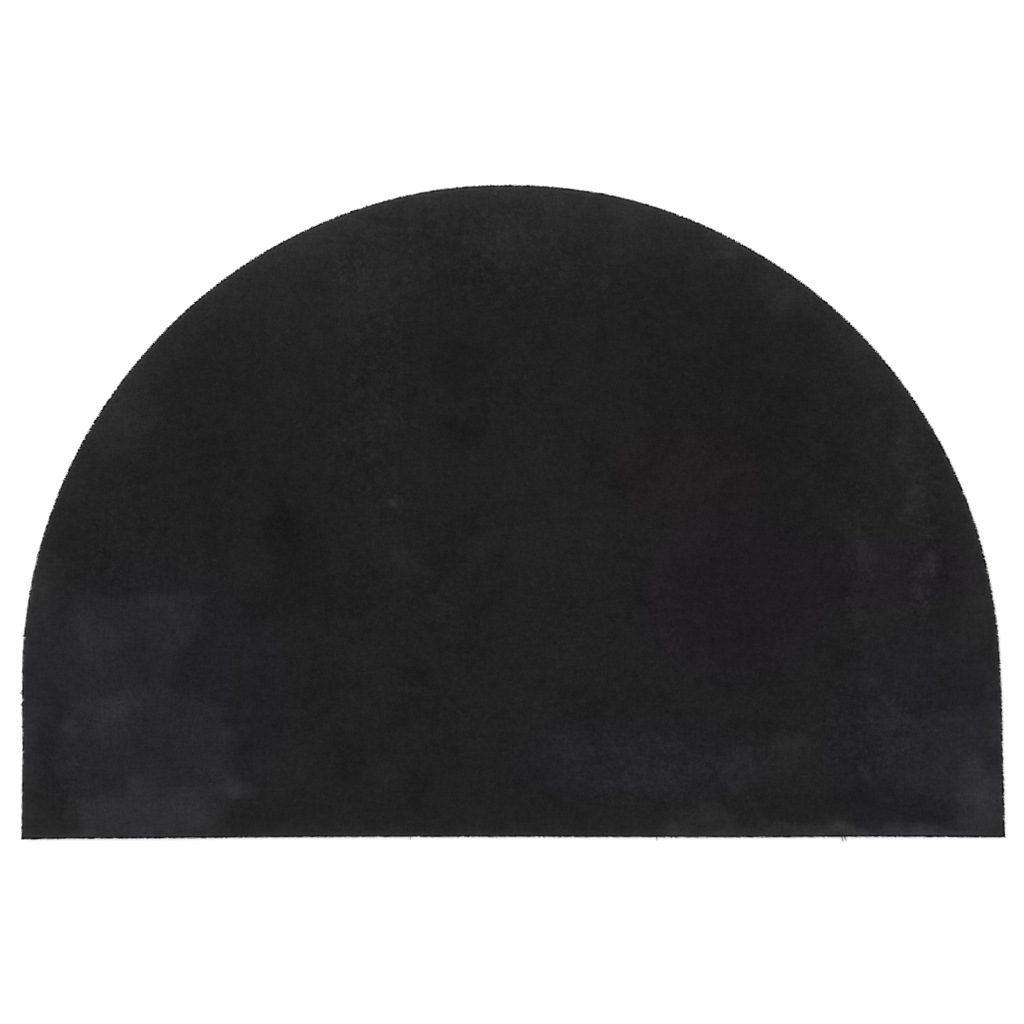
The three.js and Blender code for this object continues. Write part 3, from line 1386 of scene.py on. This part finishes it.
    def _attributes(self, mesh: bpy.types.Mesh) -> None:
        """Stores how pale the pile is at each point, painted edge highlight and painted shade
        included, and how rough.
        """
        points = np.empty(len(mesh.vertices) * 3, np.float32)
        mesh.vertices.foreach_get("co", points)
        flat = points.reshape(-1, 3)[:, :2].astype(float)
        store(mesh, "pale", self.wear_and_painted_edge_light.paleness(self.outline, flat))
        store(mesh, "rough", self.wear_and_painted_edge_light.roughness(flat))


@dataclass
class PileField:
    """The sheared fibre tips that stand out of the mass all over the top.

    Args:
        pitch: The mean distance between tips.
        root_depth: How far the roots sit below the tips' level.
        blunt: How far even the tallest stay below the top, for the width of their cut ends.
        sink: How much lower the shortest tips end.
        alone: The share of that fall that is a tip's own. The rest is its tuft's.
        lean: The least and greatest angle from upright, in degrees.
        upright: How much more tips lean little than much, where 1 is evenly.
        comb: How strongly the tips of one tuft lean the same way.
        seen: The share of a tip's reach, from its root, where its tone is read.
        tufts: The tufts.
        width: The least and greatest width.
        margin: How far inside the outline the tips start.
        clear: How far inside the outline they end.
        parts: How many pieces they are shared among.
        seed: The start of their random draws.
    """

    outline: Outline
    skin: Skin
    wear_and_painted_edge_light: WearAndPaintedEdgeLight
    pitch: float = 1.68 * MM
    root_depth: float = 1.7 * MM
    blunt: float = 0.15 * MM
    sink: float = 0.75 * MM
    alone: float = 0.6
    lean: tuple[float, float] = (12, 60)
    upright: float = 1.7
    comb: float = 1.5
    seen: float = 0.65
    tufts: Tufts = Tufts((4.6 * MM, 2.8 * MM), 61)
    width: tuple[float, float] = (0.5 * MM, 0.95 * MM)
    margin: float = 2.1 * MM
    clear: float = 0.4 * MM
    parts: int = 4
    seed: int = 7
    shape: Shape = ShearedTip(tip_width=0.7)

    def spread(self, rng: np.random.Generator) -> np.ndarray:
        """Sets places out on a jittered grid over the outline's box."""
        low, high = self.outline.points.min(0), self.outline.points.max(0)
        columns = np.arange(low[0], high[0], self.pitch)
        rows = np.arange(low[1], high[1], self.pitch * math.sqrt(0.75))
        x, y = np.meshgrid(columns, rows)
        x = x + (np.arange(len(rows)) % 2)[:, None] * self.pitch / 2
        flat = np.stack([x.ravel(), y.ravel()], 1)
        return flat + rng.uniform(-0.5, 0.5, flat.shape) * self.pitch

    def places(self) -> Places:
        """Places the tips, leaning them back where they would cross the edge.

        Returns:
            Where they stand.
        """
        rng = np.random.default_rng(self.seed)
        flat = self.spread(rng)
        depth, outward = self.outline.depth(flat)
        kept = depth > self.margin
        flat, depth, outward = flat[kept], depth[kept], outward[kept]
        count = len(flat)
        least, most = self.lean
        lean = np.radians(least + (most - least) * rng.random(count) ** self.upright)
        own = self.tufts.numbers(flat)
        heading = (2 * own[:, 1:3] - 1) * self.comb + rng.normal(0, 1, (count, 2))
        towards = np.arctan2(heading[:, 1], heading[:, 0])
        level = self.skin.height(flat) - self.blunt
        level -= self.sink * (self.alone * rng.random(count) + (1 - self.alone) * own[:, 3])
        length = self.root_depth / np.cos(lean)
        away = np.stack([np.cos(towards), np.sin(towards)], 1)
        reach = length * np.sin(lean)
        leaves = (away * outward).sum(1) * reach > depth - self.clear
        towards = np.where(leaves, towards + math.pi, towards)
        away[leaves] *= -1
        seen = flat + away * (self.seen * reach)[:, None]
        return Places(
            root=np.column_stack([flat, level - self.root_depth]),
            length=length,
            width=rng.uniform(*self.width, count),
            lean=lean,
            towards=towards,
            spin=rng.uniform(0, 2 * math.pi, count),
            tone=rng.random(count),
            pale=self.wear_and_painted_edge_light.fibres(self.outline, seen, rng),
            rough=self.wear_and_painted_edge_light.roughness(seen),
        )

    def build(self, finish: bpy.types.Material) -> list[bpy.types.Object]:
        """Makes the pieces.

        Args:
            finish: The fibres' material.

        Returns:
            The new objects.
        """
        places = self.places()
        maker = FibreMesh(self.shape)
        made = []
        for part in range(self.parts):
            name = f"pile_tips_{part + 1}"
            made.append(maker.joined(name, places.every(self.parts, part), finish))
        return made


@dataclass(frozen=True)
class RimRow:
    """One row of the upright fibres round the cut side.

    Args:
        inset: How far in from the widest outline it stands.
        short: How far its fibres stay below the top.
        shade: How pale it is painted against the pile behind it, as painted shade on the cut
            side.
    """

    inset: float
    short: float
    shade: float


@dataclass
class RimFibres:
    """The cut side of the pile: upright fibres all round, splayed a little.

    Args:
        rows: The rows, from the outside in.
        pitch: The distance between fibres along one row.
        base_height: The height at which they leave the base.
        sunk: How deep their roots are in the base.
        width: The least and greatest width.
        splay: The mean outward lean and its spread, in degrees.
        sway: The spread of the lean along the edge, in degrees.
        together: How far neighbours lean along the edge together, in degrees.
        ragged: How far the cut wanders in and out.
        jitter: How far single fibres stray from it.
        uneven: How far the shortest fibres of a row fall short of the others.
        few_short: How few fibres are short, where 1 makes as many short as long.
        top_from: How far inside a fibre's root the pile's top is read.
        overhang: How far past the outline a tip may reach.
        held_in: The share of its tilt that a fibre keeps which would reach further.
    """

    outline: Outline
    skin: Skin
    wear_and_painted_edge_light: WearAndPaintedEdgeLight
    rows: tuple[RimRow, ...] = (
        RimRow(inset=0.5 * MM, short=1.5 * MM, shade=0.25),
        RimRow(inset=1.1 * MM, short=1.0 * MM, shade=0.3),
        RimRow(inset=1.8 * MM, short=0.6 * MM, shade=0.4),
    )
    pitch: float = 0.62 * MM
    base_height: float = 2.4 * MM
    sunk: float = 0.3 * MM
    width: tuple[float, float] = (0.5 * MM, 0.85 * MM)
    splay: tuple[float, float] = (0.8, 1.8)
    sway: float = 4.5
    together: float = 2.5
    ragged: float = 0.07 * MM
    jitter: float = 0.08 * MM
    uneven: float = 1.2 * MM
    few_short: float = 2.2
    top_from: float = 2.0 * MM
    overhang: float = 0.15 * MM
    held_in: float = 0.15
    seed: int = 41
    shape: Shape = Bristle(rings=((0.5, 0.95, 0.0), (1.0, 0.7, 0.1)))

    def places(self, row: RimRow, rng: np.random.Generator) -> Places:
        """Places one row's fibres.

        Args:
            row: The row.
            rng: The random draws.

        Returns:
            Where they stand.
        """
        flat, outward = self.outline.walk(self.pitch)
        count = len(flat)
        side = np.stack([-outward[:, 1], outward[:, 0]], 1)
        flat = flat + side * (rng.uniform(-0.5, 0.5, count) * self.pitch)[:, None]
        stray = self.ragged * swells(flat, 7 * MM, 11) + rng.normal(0, self.jitter, count)
        flat = flat - outward * (row.inset + stray.clip(-row.inset / 3, None))[:, None]
        out = np.tan(np.radians(rng.normal(*self.splay, count)))
        lean_side = rng.normal(0, self.sway, count) + self.together * swells(flat, 6 * MM, 12)
        tilt = outward * out[:, None] + side * np.tan(np.radians(lean_side))[:, None]
        low = self.base_height - self.sunk
        top = self.skin.height(flat - outward * self.top_from)
        top = np.where(top > 0, top, top.max()) - row.short
        top -= self.uneven * rng.random(count) ** self.few_short
        tip = flat + tilt * (top - low)[:, None]
        beyond, _ = self.outline.depth(tip)
        tilt *= np.where(beyond < -self.overhang, self.held_in, 1.0)[:, None]
        lean = np.arctan(np.hypot(tilt[:, 0], tilt[:, 1]))
        return Places(
            root=np.column_stack([flat, np.full(count, low)]),
            length=(top - low) / np.cos(lean),
            width=rng.uniform(*self.width, count),
            lean=lean,
            towards=np.arctan2(tilt[:, 1], tilt[:, 0]),
            spin=rng.uniform(0, 2 * math.pi, count),
            tone=rng.random(count),
            # Painted shade: each row of the cut side is painted darker by its shade
            pale=self.wear_and_painted_edge_light.fibres(self.outline, flat, rng) * row.shade,
            rough=self.wear_and_painted_edge_light.roughness(flat),
        )

    def build(self, finish: bpy.types.Material) -> list[bpy.types.Object]:
        """Makes the rim.

        Args:
            finish: The fibres' material.

        Returns:
            The new objects, one for each row.
        """
        rng = np.random.default_rng(self.seed)
        maker = FibreMesh(self.shape)
        made = []
        for number, row in enumerate(self.rows, start=1):
            made.append(maker.joined(f"rim_fibres_{number}", self.places(row, rng), finish))
        return made


@dataclass(frozen=True)
class Stray:
    """A small bundle of fibres that has worked loose at the edge.

    Args:
        at: Where it leaves the edge, in plan.
        reach: How far it sticks out.
        bearing: Its direction, in degrees from +X.
        fan: How far its fibres spread from that, in degrees.
        fibres: How many fibres it has.
    """

    at: tuple[float, float]
    reach: float
    bearing: float
    fan: float = 14.0
    fibres: int = 5


# The loose bundles at the places where they show
STRAYS = (
    Stray((-0.4480, -0.1655), 4.6 * MM, 176, 16, 9),
    Stray((-0.4482, -0.1765), 3.4 * MM, 170, 12, 6),
    Stray((0.3010, -0.2980), 4.4 * MM, -84, 10, 5),
    Stray((0.3035, -0.2982), 3.8 * MM, -70, 10, 4),
    Stray((0.1315, -0.2980), 3.6 * MM, -95, 14, 4),
    Stray((-0.4478, -0.1130), 2.2 * MM, 184, 20, 4),
    Stray((-0.2265, 0.2240), 2.4 * MM, 131, 20, 4),
    Stray((-0.1475, 0.2740), 2.2 * MM, 118, 20, 4),
    Stray((-0.0940, -0.2980), 2.4 * MM, -100, 18, 3),
)


@dataclass
class StrayFibres:
    """The loose bundles at the edge.

    Args:
        strays: The bundles.
        height: The mean height of their roots.
        height_spread: How much the roots' heights differ.
        sunk: How deep the roots are in the pile.
        scatter: How far the roots of one bundle stand apart.
        reach: The least and greatest share of its bundle's reach that a fibre has.
        lean: The least and greatest angle from upright, in degrees.
        width: The least and greatest width.
        pale: How pale they are.
    """

    strays: tuple[Stray, ...] = STRAYS
    height: float = 10.5 * MM
    height_spread: float = 0.9 * MM
    sunk: float = 2.5 * MM
    scatter: float = 0.4 * MM
    reach: tuple[float, float] = (0.6, 1.0)
    lean: tuple[float, float] = (76, 94)
    width: tuple[float, float] = (0.35 * MM, 0.6 * MM)
    pale: float = 0.4
    seed: int = 23
    shape: Shape = Bristle(rings=((0.45, 0.9, 0.0), (0.8, 0.65, 0.06), (1.0, 0.4, 0.16)))

    def build(self, finish: bpy.types.Material) -> bpy.types.Object:
        """Makes them all as one piece.

        Args:
            finish: The fibres' material.

        Returns:
            The new object.
        """
        rng = np.random.default_rng(self.seed)
        rows = []
        for stray in self.strays:
            for _ in range(stray.fibres):
                turn = math.radians(stray.bearing + rng.normal(0, stray.fan))
                away = np.array([math.cos(turn), math.sin(turn)])
                root = np.array(stray.at) - away * self.sunk + rng.normal(0, self.scatter, 2)
                length = self.sunk + stray.reach * rng.uniform(*self.reach)
                high = self.height + rng.normal(0, self.height_spread)
                lean = math.radians(rng.uniform(*self.lean))
                rows.append((*root, high, length, lean, turn))
        table = np.array(rows)
        count = len(table)
        places = Places(
            root=table[:, :3],
            length=table[:, 3],
            width=rng.uniform(*self.width, count),
            lean=table[:, 4],
            towards=table[:, 5],
            spin=table[:, 5],
            tone=rng.random(count),
            pale=np.full(count, self.pale),
            rough=np.zeros(count),
        )
        return FibreMesh(self.shape).joined("stray_fibres", places, finish)


@dataclass
class Doormat:
    """The whole mat: its body, tips, rim and strays."""

    node: bpy.types.Object

    def build(self) -> list[bpy.types.Object]:
        """Returns:
            The pieces, the body first.
        """
        outline = Outline.cut_from(self.node, CUT_LEVEL)
        skin = Skin(self.node)
        wear_and_painted_edge_light = WearAndPaintedEdgeLight()
        coir = DyedCoir("coir_fibre")
        fibre = coir.material()
        cut = DyedCoir("coir_cut_side", roughness=(0.9, 1.0), specular=0.04).material()
        body = MatBody(outline, skin, wear_and_painted_edge_light).build(coir.felt(), FusedBase().material())
        fibres = [
            *PileField(outline, skin, wear_and_painted_edge_light).build(fibre),
            *RimFibres(outline, skin, wear_and_painted_edge_light).build(cut),
            StrayFibres().build(fibre),
        ]
        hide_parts(CAD_NODE)
        for piece in (body, *fibres):
            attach(piece, BODY)
        return [body, *fibres]


# The studio


@dataclass(frozen=True)
class Studio:
    """A plain pale floor, soft light and a camera straight above.

    Args:
        picture: The picture's side, in pixels.
        mat_width: How wide the mat is in the picture, in pixels.
        mat_middle: Where the mat's middle is in the picture, in pixels.
        lens: The focal length, in millimetres.
        sensor: The sensor's width, in millimetres.
        floor_side: The floor's side.
        floor_gap: How far the floor lies below the mat's underside.
        floor_tone: How pale the floor is.
        glow: How much light the floor gives through itself, as a lit table does.
        sky: The strength of the even light from all sides.
        lamp_side: The side of the square lamp.
        lamp_power: Its power, in watts.
        lamp_place: Where it hangs. It aims at the origin.
        level: The height that the camera is set for, as a share of the mat's.
    """

    picture: int = 1024
    mat_width: float = 984.1
    mat_middle: tuple[float, float] = (513.15, 512.2)
    lens: float = 85.0
    sensor: float = 36.0
    floor_side: float = 60.0
    floor_gap: float = 0.05 * MM
    floor_tone: float = 0.86
    glow: float = 0.45
    sky: float = 0.87
    lamp_side: float = 2.2
    lamp_power: float = 35
    lamp_place: tuple[float, float, float] = (-1.4, 1.2, 2.6)
    level: float = 0.7

    def build(self) -> None:
        """Makes the floor, the light and the camera."""
        self._floor()
        self._light()
        self._camera()
        view = bpy.context.scene.view_settings
        view.view_transform = "Standard"
        view.look = "None"

    def _floor(self) -> None:
        """Lays the floor just under the mat."""
        bm = bmesh.new()
        bmesh.ops.create_grid(bm, x_segments=1, y_segments=1, size=self.floor_side / 2)
        bmesh.ops.translate(bm, vec=(0, 0, -self.floor_gap), verts=bm.verts[:])
        mesh = bpy.data.meshes.new("floor")
        bm.to_mesh(mesh)
        bm.free()
        paint = Painter("pale_floor")
        pale = (self.floor_tone, self.floor_tone, self.floor_tone, 1)
        paint.set(Base_Color=pale, Roughness=0.9, Specular_IOR_Level=0.1)
        paint.set(Emission_Color=(1, 1, 1, 1), Emission_Strength=self.glow)
        mesh.materials.append(paint.material)
        floor = linked("floor", mesh)

    def _light(self) -> None:
        """Adds the sky's even light and one large soft lamp."""
        world = bpy.data.worlds.new("studio")
        world.use_nodes = True
        sky = world.node_tree.nodes["Background"]
        sky.inputs["Color"].default_value = (1, 1, 1, 1)
        sky.inputs["Strength"].default_value = self.sky
        bpy.context.scene.world = world
        lamp = bpy.data.lights.new("soft_box", "AREA")
        lamp.shape = "SQUARE"
        lamp.size = self.lamp_side
        lamp.energy = self.lamp_power
        holder = linked("soft_box", lamp)
        holder.location = self.lamp_place
        holder.rotation_euler = (-holder.location).to_track_quat("-Z", "Y").to_euler()

    def _camera(self) -> None:
        """Hangs the camera straight above, so that the mat fills the picture as it should."""
        low, high = CAD_BOX
        metres = (high.x - low.x) / self.mat_width
        distance = metres * self.picture * self.lens / self.sensor
        camera = bpy.data.cameras.new("camera")
        camera.lens = self.lens
        camera.sensor_width = self.sensor
        holder = linked("camera", camera)
        middle = (low + high) / 2
        off_x = (self.picture / 2 - self.mat_middle[0]) * metres
        off_y = (self.mat_middle[1] - self.picture / 2) * metres
        above = high.z * self.level + distance
        holder.location = (middle.x + off_x, middle.y + off_y, above)
        bpy.context.scene.camera = holder


def report(pieces: Iterable[bpy.types.Object]) -> None:
    """Logs each piece and its faces."""
    total = 0
    for piece in pieces:
        count = len(piece.data.polygons)
        total += count
        log.info("%s: %d faces", piece.name, count)
    log.info("all pieces: %d faces", total)


def main() -> None:
    """Builds the studio and the mat."""
    logging.basicConfig(level=logging.INFO, format="%(name)s: %(message)s")
    Studio().build()
    pieces = Doormat(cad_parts[CAD_NODE]).build()
    report(pieces)


if __name__ == "__main__":
    main()
